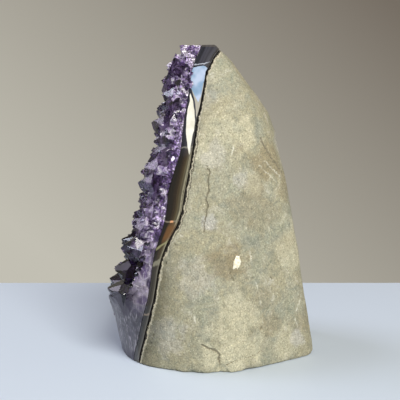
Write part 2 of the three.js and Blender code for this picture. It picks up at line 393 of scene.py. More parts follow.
def traced(surface, lines, dice):
    """Points every half millimetre along the lines, each with the line's width."""
    found = []
    for side, width, marks in lines:
        for (a, b), (c, d) in zip(marks, marks[1:]):
            count = max(2, round(math.hypot(c - a, d - b) / LINE_STEP))
            for i in range(count):
                t = i / count
                stray = dice.uniform(-LINE_STRAY, LINE_STRAY)
                spot = on_surface(surface, side, a + (c - a) * t + stray, b + (d - b) * t + stray)
                if spot:
                    found.append((spot, width * MM * dice.uniform(0.6, 1.2)))
    tree = KDTree(len(found))
    for i, (spot, _) in enumerate(found):
        tree.insert(spot, i)
    tree.balance()
    return tree, [width for _, width in found]


dice = random.Random(3)
cracks, crack_widths = traced(basalt_surface, CRACKS, dice)
veins, vein_widths = traced(basalt_surface, VEINS, dice)
print("line points", len(crack_widths), len(vein_widths))

# %% [markdown]
# A stain is a round patch with a ragged edge: its side, its middle across and up, its size in
# millimetres, and its strength. Rust stains are brown, lime stains are pale yellow, and bloom is a
# thin bluish or pinkish film.

# %% Stains in the basalt
RUST = (
    ("right", 9, 56.5, 12.5, 1.0), ("right", 30, 105, 13, 0.9), ("right", 14, 83, 8, 0.45),
    ("right", 27, 36, 7, 0.45), ("right", 26, 80, 12, 0.5), ("right", -9, 98, 5, 0.3),
    ("right", 21, 93, 9, 0.7), ("right", 31, 21, 8, 0.6), ("right", 40, 62, 8, 0.5),
    ("right", 19, 33, 6, 0.4), ("right", 14, 112, 7, 0.35), ("left", 14, 60, 14, 0.8),
    ("left", -2, 100, 10, 0.5), ("back", -12, 45, 15, 0.8), ("back", 15, 92, 12, 0.6),
    ("left", 25, 22, 12, 0.5), ("back", 24, 20, 10, 0.5),
)
LIME = (
    ("right", 14, 30, 13, 0.8), ("right", 6, 6, 16, 1.0), ("right", 18, 12, 12, 0.8),
    ("right", 40, 8, 12, 0.6), ("right", 2, 118, 16, 0.55), ("right", 18, 120, 9, 0.7),
    ("right", 3, 22, 9, 0.7), ("right", 20, 96, 7, 0.5), ("left", 10, 120, 15, 0.7),
    ("left", -10, 25, 16, 0.7), ("back", 20, 60, 16, 0.7), ("back", -25, 100, 14, 0.6),
    ("back", 0, 12, 18, 0.8),
)
BLOOM = (
    ("right", -1, 76, 5.5, 1.0), ("right", -2, 138, 7, 0.3), ("right", 2, 110, 8, 0.55),
    ("right", 15, 98, 6, 0.6), ("right", -22, 20, 12, 0.5), ("right", 46, 12, 6, 0.8),
    ("right", -8, 48, 12, 0.45), ("left", 4, 80, 10, 0.8), ("left", -15, 60, 12, 0.6),
    ("back", 5, 110, 12, 0.7), ("back", -5, 30, 12, 0.6),
)


def stain(spots, place):
    """How strongly a point is stained, from 0 to 1."""
    edge = 0.55 * noise.fractal(place * per(7), 0.8, 2.2, 4)
    most = 0.0
    for middle, size, strength in spots:
        away = (place - middle).length / (size * MM)
        if away < 1.5:
            most = max(most, strength * smoothstep(0, 0.45, 1 - away + edge))
    return most


def found_stains(table):
    return [(on_surface(basalt_surface, side, a, b), size, strength) for side, a, b, size, strength in table]


stains = {"rust": found_stains(RUST), "lime": found_stains(LIME), "bloom": found_stains(BLOOM)}
print("stains", {name: len(spots) for name, spots in stains.items()})

# %% Basalt shape
SKIN_GAP = 0.35 * MM  # a point this close to the agate is on the parting face, which nobody sees
FINE_RIM = 3.2 * MM  # the strip along the agate that is split finer
FINE_LINE = 1.6 * MM  # the strip along a crack or a vein that is split finer

stone = modified(merged_copy("basalt_matrix"), "REMESH", mode="VOXEL", voxel_size=1.1 * MM)
bmesh.ops.triangulate(stone, faces=stone.faces)
for f in stone.faces:
    middle = f.calc_center_median()
    lined = min(cracks.find(middle)[2], veins.find(middle)[2]) < FINE_LINE
    rim = agate_surface.find_nearest(middle)[3]
    if lined or (SKIN_GAP < rim < FINE_RIM and basalt_surface.find_nearest(middle)[3] < 1 * MM):
        f.material_index = 1
refine(stone, 0.75 * MM, slot=1)
for f in stone.faces:
    f.material_index = 0
stone.normal_update()
kinds = ("rim", "crack", "vein", "pit", *stains)
layers = {name: stone.verts.layers.float.new(name) for name in kinds}
for v in stone.verts:
    place = v.co.copy()
    rim = agate_surface.find_nearest(place)[3]
    _, index, away = cracks.find(place)
    crack = 1 - smoothstep(0.35, 1.0, away / crack_widths[index])
    _, index, away = veins.find(place)
    broken = 0.5 + noise.noise(place * per(4.5))
    vein = (1 - smoothstep(0.3, 1.2, away / vein_widths[index])) * smoothstep(0.25, 1.0, broken)
    bent = place + 1.1 * MM * noise.noise_vector(place * per(1.7))
    cells, middles = noise.voronoi(bent * per(2.9))
    soft = smoothstep(0.15, 0.6, noise.noise(place * per(17) + Vector((5, 2, 7))))
    pitted = max(soft, 1 - smoothstep(4, 11, rim / MM)) * smoothstep(95, 50, place.z / MM)
    size = 0.16 + 0.16 * noise.cell(middles[0] * 9.7)
    pit = smoothstep(0, 0.1, size - cells[0]) * pitted
    for name, value in (("rim", rim / MM), ("crack", crack), ("vein", vein), ("pit", pit)):
        v[layers[name]] = value
    for name, spots in stains.items():
        v[layers[name]] = stain(spots, place)
    if place.z > 0.5 * MM:
        free = smoothstep(0.4, 3.5, rim / MM)
        swell = noise.fractal(place * per(15), 0.9, 2.1, 4)
        crumble = smoothstep(4, 0.6, rim / MM) if rim > SKIN_GAP else 0
        ragged = min(0, crumble * (noise.noise(place * per(1.6)) - 0.35))
        step = 0.4 * free * swell - 0.4 * pit * free - 0.5 * crack + 0.12 * vein + 0.55 * ragged
        v.co += v.normal * MM * step
    else:
        v.co.z = 0
undercut(stone)
print("basalt", len(stone.faces), "faces")

# %% [markdown]
# Ground basalt: a dense grey-green rock, rubbed down and left matte. To the eye it is a mottle of
# sage, olive and buff, with pale and dark grains a fraction of a millimetre wide. The mottle is
# drawn at four real sizes: blotches of 24 mm, patches of 7 mm, flecks of 2 mm and grains of about
# 1 mm, which are drawn a little coarser than they are, so that they show. Along the agate run a
# dark parting, where clay has washed out, a pale crust, and here and there a second dark line.

# %% Basalt finish
STAIN_COATS = (("rust", "#8c7d5d", 0.6), ("lime", "#d8d2b4", 0.55), ("bloom", "#c3c1bf", 0.5))

basalt, tree, place, height = new_material("ground basalt")
at = {name: add(tree, "Attribute", attribute_name=name).outputs["Fac"] for name in kinds}
blotch = noisy(
    tree, place, 24,
    (0.34, "#9c9f8b"), (0.44, "#a9a794"), (0.54, "#a49c7e"), (0.66, "#b3aa8c"),
    detail=3.0, rough=0.55, bend=0.6,
)
patch = noisy(
    tree, place, 7,
    (0.3, "#7d8172"), (0.42, "#989986"), (0.52, "#a7a287"), (0.6, "#b4af98"),
    (0.72, "#d2cfc1"),
    detail=6.0, rough=0.68, bend=1.0,
)
tone = coated(tree, blotch, (0.6, patch, "MIX"))
for name, tint, most in STAIN_COATS:
    stained = add(tree, "Math", {0: at[name], 1: most}, operation="MULTIPLY")
    tone = coated(tree, tone, (stained.outputs[0], tint, "MIX"))

# painted shade darkens the foot near the agate, and the grains lie over all of it
low_down = add(tree, "MapRange", {"Value": height, "From Min": 70 * MM, "From Max": 50 * MM})
near_rim = add(tree, "MapRange", {"Value": at["rim"], "From Min": 14.0, "From Max": 3.0})
basalt_foot_shade = add(tree, "Math", {0: low_down.outputs[0], 1: near_rim.outputs[0]}, operation="MULTIPLY")
fleck = noisy(tree, place, 2.2, (0.3, 0.7), (0.44, 0.92), (0.58, 1.0), (0.74, 1.22), detail=4.0, rough=0.7)
grain = add(tree, "TexNoise", {"Vector": place, "Scale": per(0.8), "Detail": 2.0, "Roughness": 0.7})
speckle = ((0.28, 0.42), (0.42, 0.84), (0.6, 1.07), (0.74, 1.8))
grains = add(tree, "ValToRGB", {"Fac": grain.outputs["Fac"]}, stops=speckle).outputs["Color"]
dark_grains = noisy(tree, place, 1.4, (0.62, 0.0), (0.7, 0.6), detail=2.0)
elsewhere = add(tree, "Mapping", {"Vector": place, "Location": (0.3, 0.1, 0.2)}).outputs[0]
pale_grains = noisy(tree, elsewhere, 0.9, (0.645, 0.0), (0.73, 0.8), detail=2.0)
pale_grains = coated(tree, pale_grains, (1.0, noisy(tree, elsewhere, 12, (0.42, 0.1), (0.6, 1.0)), "MULTIPLY"))
tone = coated(
    tree, tone,
    # painted shade on the foot near the agate
    (basalt_foot_shade.outputs[0], "#b0afaa", "MULTIPLY"),
    (0.9, fleck, "MULTIPLY"),
    (0.85, grains, "MULTIPLY"),
    (dark_grains, "#72755f", "MIX"),
    (pale_grains, "#ddd8c0", "MIX"),
    (at["pit"], "#a09c88", "MULTIPLY"),
    (at["vein"], "#dddac8", "MIX"),
    (at["crack"], "#7d7763", "MIX"),
)

# the strip along the agate is read by its distance from the rim, made uneven and divided by 8 mm
uneven = add(tree, "TexNoise", {"Vector": place, "Scale": per(4), "Detail": 5.0, "Roughness": 0.75}).outputs["Fac"]
shifted = add(tree, "Math", {0: uneven, 1: 5.0, 2: at["rim"]}, operation="MULTIPLY_ADD")
strip = add(tree, "Math", {0: shifted.outputs[0], 1: 8.0}, operation="DIVIDE").outputs[0]
crust = (
    (0.0, "#15110d"), (0.435, "#1d1813"), (0.45, "#8f8870"), (0.5, "#c2bca6"),
    (0.58, "#a8a28b"),
)
parting = add(tree, "ValToRGB", {"Fac": strip}, stops=crust).outputs["Color"]
beside = add(tree, "ValToRGB", {"Fac": strip}, stops=((0.54, 1.0), (0.64, 0.0))).outputs["Color"]
line = ((0.53, 0.0), (0.545, 1.0), (0.59, 1.0), (0.61, 0.0))
second = add(tree, "ValToRGB", {"Fac": strip}, stops=line).outputs["Color"]
up = add(tree, "Math", {0: uneven, 1: 0.06, 2: height}, operation="MULTIPLY_ADD")
up = add(tree, "Math", {0: up.outputs[0], 1: 5.0}, operation="MULTIPLY")  # 0 at the foot, 1 at 200 mm
here = ((0.42, 0.0), (0.48, 0.85), (0.74, 0.85), (0.8, 0.1))
doubled = add(tree, "ValToRGB", {"Fac": up.outputs[0]}, stops=here).outputs["Color"]
doubled = coated(tree, second, (1.0, doubled, "MULTIPLY"))
tone = coated(tree, tone, (beside, parting, "MIX"), (doubled, "#3a3225", "MIX"))
bumps = add(tree, "Bump", {"Strength": 0.4, "Distance": 0.4 * MM, "Height": grain.outputs["Fac"]})
close(tree, {"Base Color": tone, "Roughness": 0.8, "IOR": 1.5, "Normal": bumps.outputs[0]})
finished("basalt", stone, [basalt], "basalt_matrix")

# %% [markdown]
# ## A calcite grain
# A grain of white calcite sits in the brown patch on the side, a bubble in the old lava that filled
# with mineral. It is a small ball, stretched, roughened, and sunk half into the rock.

# %% Calcite grain
SPOT = on_surface(basalt_surface, "right", 12.9, 56.4)
GRAIN = Vector((0.8, 1.9, 3.1)) * MM  # half its thickness, width and height

grain_form = bmesh.new()
bmesh.ops.create_icosphere(grain_form, subdivisions=4, radius=1)
for v in grain_form.verts:
    v.co *= 1 + 0.42 * noise.fractal(v.co * 1.6, 0.7, 2.0, 4)
bmesh.ops.scale(grain_form, verts=grain_form.verts, vec=GRAIN)
for degrees, axis in ((-16, "X"), (29, "Z")):
    turn = Matrix.Rotation(math.radians(degrees), 3, axis)
    bmesh.ops.rotate(grain_form, verts=grain_form.verts, matrix=turn)
bmesh.ops.translate(grain_form, verts=grain_form.verts, vec=SPOT)

calcite, tree, place, _ = new_material("white calcite")
tone = noisy(tree, place, 1.2, (0.4, "#e9dfbf"), (0.55, "#fffbea"))
close(tree, {"Base Color": tone, "Roughness": 0.35, "IOR": 1.6})
finished("calcite_grain", grain_form, [calcite])

# %% [markdown]
# ## Agate
# Between rock and crystals lies a lining of agate a few millimetres thick. Only its rim shows, and
# the rim is ground to flat facets and polished. Its bands run along it, from a pale strip at the
# rock to nearly black at the crystals, and higher up it has a milky blue patch that is a painted
# reflection of the sky, a cream wedge, and a grey veil between the two. The bands follow how far a
# point is across the rim, which is measured from the two neighbours. The sky reflection, the wedge
# and the veil are outlined in small tables, by height and by the share across, and each point keeps
# how far inside an outline it is, so the colour can change on a sharp edge.

# %% Agate shape
# height in mm, then where the sky reflection, the wedge or the veil begins and ends, as shares from the rock
# the milky blue patch is a painted reflection of the sky in the polished facets
SKY_REFLECTION = (
    (136, 0.2, 0.2), (139.1, 0.08, 0.5), (141.5, 0.08, 0.69), (143.4, 0.1, 0.86), (147, 0.06, 1.1),
    (153.2, 0.04, 1.1), (154.6, 0.3, 0.3),
)
WEDGE = (
    (110, 0.2, 0.2), (111.6, 0.167, 0.3), (114.5, 0.22, 0.47), (117.4, 0.22, 0.59), (120.3, 0.2, 0.7),
    (122.2, 0.147, 0.747), (127, 0.157, 0.786), (131.9, 0.35, 0.853), (134, 0.48, 0.856),
    (136.7, 0.595, 0.82), (139.1, 0.76, 0.87), (140.5, 0.84, 0.84),
)
VEIL = (
    (128, 0.1, 0.1), (131.9, 0.05, 0.25), (136.7, 0.05, 0.46), (139.1, 0.05, 0.6), (143, 0.05, 0.8),
    (146, 0.05, 0.05),
)
OUTLINES = {"sky_reflection": SKY_REFLECTION, "wedge": WEDGE, "veil": VEIL}
RIM_WIDTH = 6.5  # millimetres, from rock to crystals
BURIED = 0.42 * MM  # a point this close to a neighbour is on a parting face, which nobody sees


def inside(outline, height, share):
    """How far inside an outline a point is, in millimetres, and below 0 outside it."""
    if not outline[0][0] < height < outline[-1][0]:
        return -1.0
    for (a, low_a, high_a), (b, low_b, high_b) in zip(outline, outline[1:]):
        if a <= height <= b:
            t = (height - a) / (b - a)
            low, high = low_a + (low_b - low_a) * t, high_a + (high_b - high_a) * t
            return max(-1.0, min(1.0, min(share - low, high - share) * RIM_WIDTH))


lining = merged_copy("agate_lining")
bmesh.ops.dissolve_limit(lining, angle_limit=STRAIGHT, verts=lining.verts, edges=lining.edges)
bmesh.ops.triangulate(lining, faces=lining.faces)
refine(lining, 2.5 * MM)
for f in lining.faces:
    middle = f.calc_center_median()
    if min(s.find_nearest(middle)[3] for s in (basalt_surface, druse_surface)) > BURIED:
        f.material_index = 1
refine(lining, 0.8 * MM, slot=1)
for f in lining.faces:
    f.material_index = 0
layers = {name: lining.verts.layers.float.new(name) for name in ("across", *OUTLINES)}
for v in lining.verts:
    to_basalt = basalt_surface.find_nearest(v.co)[3]
    to_druse = druse_surface.find_nearest(v.co)[3]
    share = to_basalt / max(1e-9, to_basalt + to_druse)
    height = v.co.z / MM
    wavy = share + 0.03 * noise.noise(v.co * per(5))
    if v.co.x < 0:  # the other side has its pool and wedge lower down, and the other way up
        height = 190 - height * 1.15
    v[layers["across"]] = share
    for name, outline in OUTLINES.items():
        v[layers[name]] = 0.5 + 0.5 * inside(outline, height, wavy)
undercut(lining)
print("agate", len(lining.faces), "faces")

# %% [markdown]
# Polished agate: quartz in crystals too small to see, smooth and glossy like glass, and cloudy a
# millimetre below. The bands are drawn about 1 mm wide, and follow the rim. They are brown and
# olive in the middle, grey at the foot and slate higher up, and fine lines cross them. On a crack
# sits a painted orange glint, and a painted highlight runs along the top facet edge.

# %% Agate finish
BROWN = (
    (0.0, "#57503f"), (0.04, "#98937d"), (0.13, "#8b8670"), (0.2, "#5c5643"), (0.34, "#403623"),
    (0.52, "#2c2014"), (0.72, "#120d09"), (1.0, "#0f0b0a"),
)
GREY = ((0.0, "#55514a"), (0.15, "#625f57"), (0.32, "#3d3932"), (0.6, "#2b2927"), (1.0, "#2d2b2b"))
SLATE = ((0.0, "#4a4a4c"), (0.25, "#3f3f45"), (0.5, "#3a3a42"), (0.8, "#262830"), (1.0, "#24252d"))

agate, tree, place, height = new_material("polished agate")
at = {name: add(tree, "Attribute", attribute_name=name).outputs["Fac"] for name in layers}
share = at["across"]
brown, grey, slate = [
    add(tree, "ValToRGB", {"Fac": share}, stops=table).outputs["Color"] for table in (BROWN, GREY, SLATE)
]
low_down = add(tree, "MapRange", {"Value": height, "From Min": 64 * MM, "From Max": 52 * MM})
high_up = add(tree, "MapRange", {"Value": height, "From Min": 108 * MM, "From Max": 116 * MM})
along = add(tree, "CombineXYZ", {"X": share, "Y": height})
stretched = add(tree, "Mapping", {"Vector": along.outputs[0], "Scale": (7, 25, 1)})
bands = add(tree, "TexNoise", {"Vector": stretched.outputs[0], "Scale": 1.6, "Detail": 4.0, "Roughness": 0.6})
light_and_dark = ((0.35, 0.62), (0.5, 1.0), (0.65, 1.45))
banded = add(tree, "ValToRGB", {"Fac": bands.outputs["Fac"]}, stops=light_and_dark).outputs["Color"]
tone = coated(
    tree, brown,
    (low_down.outputs[0], grey, "MIX"),
    (high_up.outputs[0], slate, "MIX"),
    (1.0, banded, "MULTIPLY"),
)


def mark(up, spread, lean, tint, strength=1.0, ragged=1.5, middle=0.5, reach=2.0):
    """A coat: a line or patch across the rim at a height, with its spread above and below, in mm."""
    bent = add(tree, "TexNoise", {"Vector": place, "Scale": per(2.5), "Detail": 3.0})
    shift = add(tree, "Math", {0: bent.outputs["Fac"], 1: ragged * MM, 2: height}, operation="MULTIPLY_ADD")
    leaning = add(tree, "Math", {0: share, 1: lean * MM, 2: shift.outputs[0]}, operation="MULTIPLY_ADD")
    gap = add(tree, "Math", {0: leaning.outputs[0], 1: (up + ragged / 2) * MM}, operation="SUBTRACT")
    away = add(tree, "Math", {0: gap.outputs[0]}, operation="ABSOLUTE")
    fade = {"From Min": spread * 1.4 * MM, "From Max": spread * 0.6 * MM, "To Max": strength}
    near = add(tree, "MapRange", {"Value": away.outputs[0], **fade})
    aside = add(tree, "Math", {0: share, 1: middle}, operation="SUBTRACT")
    beyond = add(tree, "Math", {0: aside.outputs[0]}, operation="ABSOLUTE")
    within = add(tree, "MapRange", {"Value": beyond.outputs[0], "From Min": reach, "From Max": reach * 0.6})
    both = add(tree, "Math", {0: near.outputs[0], 1: within.outputs[0]}, operation="MULTIPLY")
    return both.outputs[0], tint, "MIX"


wavering = add(tree, "TexNoise", {"Vector": place, "Scale": per(3), "Detail": 4.0, "Roughness": 0.7})
beside = add(tree, "Math", {0: wavering.outputs["Fac"], 1: 0.22, 2: share}, operation="MULTIPLY_ADD")
thin = ((0.16, 0.0), (0.18, 0.8), (0.2, 0.8), (0.22, 0.0))
hair = add(tree, "ValToRGB", {"Fac": beside.outputs[0]}, stops=thin).outputs["Color"]
# painted reflection: the milky blue of the sky in the polished facets
blue = noisy(tree, place, 9, (0.35, "#7f9cb8"), (0.5, "#93abc6"), (0.65, "#b5c3da"), detail=2.0)
cream = noisy(tree, place, 6, (0.35, "#dcd8c6"), (0.6, "#eeecdf"))
tone = coated(
    tree, tone,
    mark(72, 4.2, 2.0, "#6b4826", 0.8, middle=0.3, reach=0.4),
    mark(67.2, 0.7, 5.0, "#96936c", 0.7),
    mark(77.4, 0.35, 1.0, "#8d8272", 0.6),
    # a painted orange glint on the crack
    mark(77.0, 0.5, 0.5, "#e6a878", 0.85, middle=0.45, reach=0.13),
    mark(57.2, 1.3, 3.0, "#8b8876", 0.75, 3.0),
    mark(29.3, 0.6, 1.0, "#86786a", 0.8),
    mark(114.3, 0.35, 1.0, "#8c8a80", 0.6),
    # a painted highlight along the top facet edge
    mark(156.2, 0.28, 1.5, "#c3c8d4", 0.75, 2.5, middle=0.75, reach=0.75),
    (hair, "#2b241c", "MIX"),
)
fills = (("veil", 0.48, 0.54, "#aca79a"), ("sky_reflection", 0.48, 0.53, blue), ("wedge", 0.46, 0.51, cream))
for name, start, end, fill in fills:
    within = add(tree, "ValToRGB", {"Fac": at[name]}, stops=((start, 0.0), (end, 1.0)))
    tone = coated(tree, tone, (within.outputs["Color"], fill, "MIX"))
close(tree, {"Base Color": tone, "Roughness": 0.12, "IOR": 1.54})
finished("agate", lining, [agate], "agate_lining")

# %% [markdown]
# ## Amethyst
# The crystals are clear purple quartz on a cloudy white root, and most of their purple is in the
# tips. A painted purple shell would look like plastic, so they are real glass here: clear outside,
# with purple that light loses on its way through, and a separate cloudy mass sealed inside them.
# The cloudy mass is the same shape made into even squares, smoothed, and shrunk by a few
# millimetres, so that it fills the roots and leaves the tips clear.

# %% Cloudy core shape
CLEAR_SKIN = 2.6 * MM  # how deep the cloudy core begins

core = modified(merged_copy("amethyst_druse"), "REMESH", mode="VOXEL", voxel_size=1.5 * MM)
for _ in range(4):
    bmesh.ops.smooth_vert(core, verts=core.verts, factor=0.5, use_axis_x=True, use_axis_y=True, use_axis_z=True)
core.normal_update()
for v in core.verts:
    v.co -= v.normal * CLEAR_SKIN * (1 + 0.5 * noise.noise(v.co * per(4)))
core.normal_update()
core_surface = BVHTree.FromBMesh(core)
print("core", len(core.faces), "faces")

# %% [markdown]
# Between the large crystals of the frame stand hundreds of small ones. Each is a hexagonal point:
# a short prism with a six-sided tip a little off its middle. They are scattered over the front
# with a fixed seed, mostly in the valleys, and cross each other as real ones do. They are joined to
# the large ones with Boolean unions, so that light passes from one into the next without meeting a
# buried wall. A union needs each of its two shapes to be free of crossings, so the small crystals
# are dealt into groups in which none touches another.

# %% Small crystals
SMALL = 300  # in the valleys; those along the border are counted by its length
ROUNDS = 4
BORDER_STEP = 1.3 * MM
VALLEYS = (0.014, 0.156)  # metres, the heights between which they are sown
BARE_FOOT = 16 * MM  # no small crystal stands below this
BARE_BORDER = 40 * MM  # and none along the border below this
FLAT_TOP = 1.5 * MM  # and none reaches this close to the top
SUNK = 0.45  # the share of a small crystal's width that is in the bed


def quartz_point(dice):
    """A point 1 across and about 1.1 tall, standing on the origin, as a mesh."""
    form = bmesh.new()
    tall = dice.uniform(0.35, 0.7)
    bmesh.ops.create_cone(form, cap_ends=True, segments=6, radius1=0.52, radius2=0.47, depth=tall)
    bmesh.ops.translate(form, verts=form.verts, vec=(0, 0, tall / 2))
    cap = max(form.faces, key=lambda f: f.calc_center_median().z)
    for corner in list(cap.verts)[::2]:
        corner.co.z -= dice.uniform(0.04, 0.16)
    tip = bmesh.ops.poke(form, faces=[cap])["verts"][0]
    tip.co += Vector((dice.uniform(-0.12, 0.12), dice.uniform(-0.12, 0.12), dice.uniform(0.45, 0.6)))
    bmesh.ops.recalc_face_normals(form, faces=form.faces)
    mesh = bpy.data.meshes.new("point")
    form.to_mesh(mesh)
    form.free()
    return mesh


# %% [markdown]
# The sides of the druse, next to the agate, were ground with it, and no crystal stands there. The
# ground faces are found by spreading from the edge of the agate over every edge that bends less
# than 14 degrees.

# %% Ground sides
BACKWARD = 0.6  # a face whose normal goes this much back lies against the agate
LEVEL = 0.95  # a face whose normal goes this much up or down is the base or the top
BEND = math.radians(14)


def ground_faces(form):
    behind = {f for f in form.faces if f.normal.y > BACKWARD}
    beside = {g for f in behind for e in f.edges for g in e.link_faces if g not in behind}
    found = {g for g in beside if abs(g.normal.z) < LEVEL}
    search = list(found)
    while search:
        for e in search.pop().edges:
            for g in e.link_faces:
                if g not in found and g not in behind and e.calc_face_angle(0) < BEND:
                    found.add(g)
                    search.append(g)
    return sorted(found, key=lambda f: f.index)


crystals = merged_copy("amethyst_druse")
bmesh.ops.dissolve_limit(crystals, angle_limit=STRAIGHT, verts=crystals.verts, edges=crystals.edges)
crystals.verts.index_update()
rubbed = ground_faces(crystals)
ground_polygons = [[v.index for v in f.verts] for f in rubbed]
ground_surface = BVHTree.FromPolygons([v.co for v in crystals.verts], ground_polygons)
border = []
for f in rubbed:
    for e in f.edges:
        if any(g not in rubbed and g.normal.y < BACKWARD for g in e.link_faces) and f.normal.z < 0.9:
            border.append((e.verts[0].co.copy(), e.verts[1].co.copy(), f.normal.copy()))
print("ground faces", len(rubbed), "border", round(sum((b - a).length for a, b, _ in border) / MM), "mm")

# %% Scattering the small crystals
dice = random.Random(7)
points = [quartz_point(dice) for _ in range(8)]
rounds = [(bmesh.new(), []) for _ in range(ROUNDS)]


def plant(foot, way, size):
    """Stands a small crystal on the druse in the first group where it touches no other."""
    if (foot + way * size).z > HIGH.z - FLAT_TOP or foot.z < BARE_FOOT:
        return False
    for form, feet in rounds:
        if all((foot - other).length > (size + reach) * 0.95 for other, reach in feet):
            feet.append((foot, size))
            mesh = dice.choice(points).copy()
            spin = Matrix.Rotation(dice.uniform(0, 6.28), 4, "Z")
            turn = way.to_track_quat("Z", "Y").to_matrix().to_4x4() @ spin
            mesh.transform(Matrix.Translation(foot - way * size * SUNK) @ turn @ Matrix.Scale(size, 4))
            form.from_mesh(mesh)
            bpy.data.meshes.remove(mesh)
            return True
    return False


def astray(dice, reach):
    return Vector([dice.uniform(-reach, reach) for _ in range(3)])


FORWARD = Vector((0, -1, 0))

along_border = 0
for a, b, facing in border:
    for _ in range(max(1, round((b - a).length / BORDER_STEP))):
        foot = a.lerp(b, dice.random())
        grown = 0.5 + 0.5 * smoothstep(25 * MM, 55 * MM, foot.z)
        size = (1.1 + 3.4 * dice.random() ** 1.7) * MM * grown
        if foot.z > BARE_BORDER:
            way = (facing * 0.5 + FORWARD * 0.8 + astray(dice, 0.4)).normalized()
            along_border += plant(foot, way, size)
in_valleys = 0
druse_low, druse_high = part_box("amethyst_druse")
while in_valleys < SMALL:
    across = dice.uniform(druse_low.x, druse_high.x)
    start = Vector((across, druse_low.y - 5 * MM, dice.uniform(*VALLEYS)))
    foot, facing, _, _ = druse_surface.ray_cast(start, -FORWARD)
    if foot is None or facing.y > -0.12:
        continue
    size = dice.uniform(1.3, 4.0) * MM
    near_ground = ground_surface.find_nearest(foot)[3] < SUNK * size
    # a valley is where the cloudy core is close below the surface
    if near_ground or core_surface.find_nearest(foot)[3] > dice.uniform(2.2, 3.6) * MM:
        continue
    way = (facing * 0.7 + FORWARD + astray(dice, 0.6)).normalized()
    in_valleys += plant(foot, way, size)
print("small crystals", along_border, in_valleys, [len(feet) for _, feet in rounds])

# %% One druse
for form, _ in rounds:
    mesh = bpy.data.meshes.new("small")
    form.to_mesh(mesh)
    form.free()
    helper = bpy.data.objects.new("small", mesh)
    bpy.context.scene.collection.objects.link(helper)
    crystals = modified(crystals, "BOOLEAN", operation="UNION", solver="MANIFOLD", object=helper)
    bpy.data.objects.remove(helper)
bmesh.ops.dissolve_limit(crystals, angle_limit=STRAIGHT, verts=crystals.verts, edges=crystals.edges)
print("joined", len(crystals.faces), "faces, open edges", sum(not e.is_manifold for e in crystals.edges))

# %% [markdown]
# High up the grinding only broke the crystals at the sides, and left a sparkling crust of grains
# about 3 mm wide. Lower down it went deep, and shows pale crystal roots cut across like cells, and
# at the foot the stone is smooth. The ground faces are refined, and each point is moved in or out
# with its grain, which tilts every grain its own way. Where the unions left two flat triangles on
# the same three points, both go, which closes the seam between their neighbours. Some whole faces
# near the agate are marked as etched.

# %% Broken grains
CLEAR, GROUND, ETCHED = range(3)  # the material slots
BROKEN_TOP = 153 * MM
CRUST = 4.2  # millimetres, how far the crust reaches from the agate over the crystals
CRUST_FOOT = 66 * MM
CELLS_BELOW = 62  # millimetres
GRAIN_SIZE, CELL_SIZE = 3.0, 6.5  # millimetres

facet = crystals.faces.layers.float.new("facet")
for f in crystals.faces:
    middle = f.calc_center_median()
    _, facing, _, away = ground_surface.find_nearest(middle)
    on_top = middle.z > BROKEN_TOP and f.normal.y < BACKWARD
    on_side = away < 0.02 * MM and facing.dot(f.normal) > 0.99
    f.material_index = GROUND if on_top or on_side else CLEAR
    f[facet] = dice.random()
bmesh.ops.triangulate(crystals, faces=crystals.faces)
corners = {}
for f in crystals.faces:
    corners.setdefault(frozenset(f.verts), []).append(f)
flat = [f for same in corners.values() if len(same) > 1 for f in same]
bmesh.ops.delete(crystals, geom=flat, context="FACES")
print("flat pairs", len(flat) // 2, "open edges", sum(not e.is_manifold for e in crystals.edges))

refine(crystals, 2.4 * MM)
for f in crystals.faces:
    middle = f.calc_center_median()
    near = agate_surface.find_nearest(middle)[3] / MM + 2.5 * noise.noise(middle * per(4))
    outward = f.normal.y < BACKWARD and f.normal.x * middle.x > 0
    if outward and near < CRUST and middle.z > CRUST_FOOT:
        f.material_index = GROUND
refine(crystals, 0.75 * MM, slot=GROUND)

edge_of_druse = KDTree(len(border))
for i, (a, b, _) in enumerate(border):
    edge_of_druse.insert((a + b) / 2, i)
edge_of_druse.balance()
names = ("depth", "tone", "rim", "low_shade")
depth, tone, rim, low_shade = [crystals.verts.layers.float.new(name) for name in names]
crystals.normal_update()
for v in crystals.verts:
    v[depth] = core_surface.find_nearest(v.co)[3] / MM
    if any(f.material_index for f in v.link_faces):
        level = v.co.z / MM + 9 * noise.noise(v.co * per(11))
        size = GRAIN_SIZE if level > CELLS_BELOW else CELL_SIZE
        distances, middles = noise.voronoi(v.co * per(size))
        v[tone] = 0.5 + 0.5 * noise.cell(middles[0] * 9.7)
        v[rim] = (distances[1] - distances[0]) * size / 2
        # painted shade: dark violet beside the edge of the ground faces, low down
        v[low_shade] = smoothstep(-8, -2, -edge_of_druse.find(v.co)[2] / MM) * smoothstep(-50, -42, -level)
        if all(f.material_index for f in v.link_faces) and agate_surface.find_nearest(v.co)[3] > 0.5 * MM:
            tilt = noise.cell_vector(middles[0] * 9.7) - Vector((0.5, 0.5, 0.5))
            slope = tilt.dot(v.co / MM - middles[0] * size) * 3 / size
            step = max(-0.8, min(0.35, 0.9 * slope - 0.1)) + dice.uniform(-0.12, 0.05)
            v.co += v.normal * (0.05 + 0.95 * smoothstep(26, 50, level)) * step * MM
undercut(crystals)
for f in crystals.faces:
    middle = f.calc_center_median()
    near = smoothstep(17, 5, agate_surface.find_nearest(middle)[3] / MM) * smoothstep(48, 62, middle.z / MM)
    eaten = 0.55 * f[facet] + 0.4 * noise.noise(middle * per(3.5)) + 0.42 * near
    if f.material_index == CLEAR and eaten > 0.7:
        f.material_index = ETCHED
slots = [sum(f.material_index == slot for f in crystals.faces) for slot in (CLEAR, GROUND, ETCHED)]
print("amethyst faces, clear, ground and etched", slots)

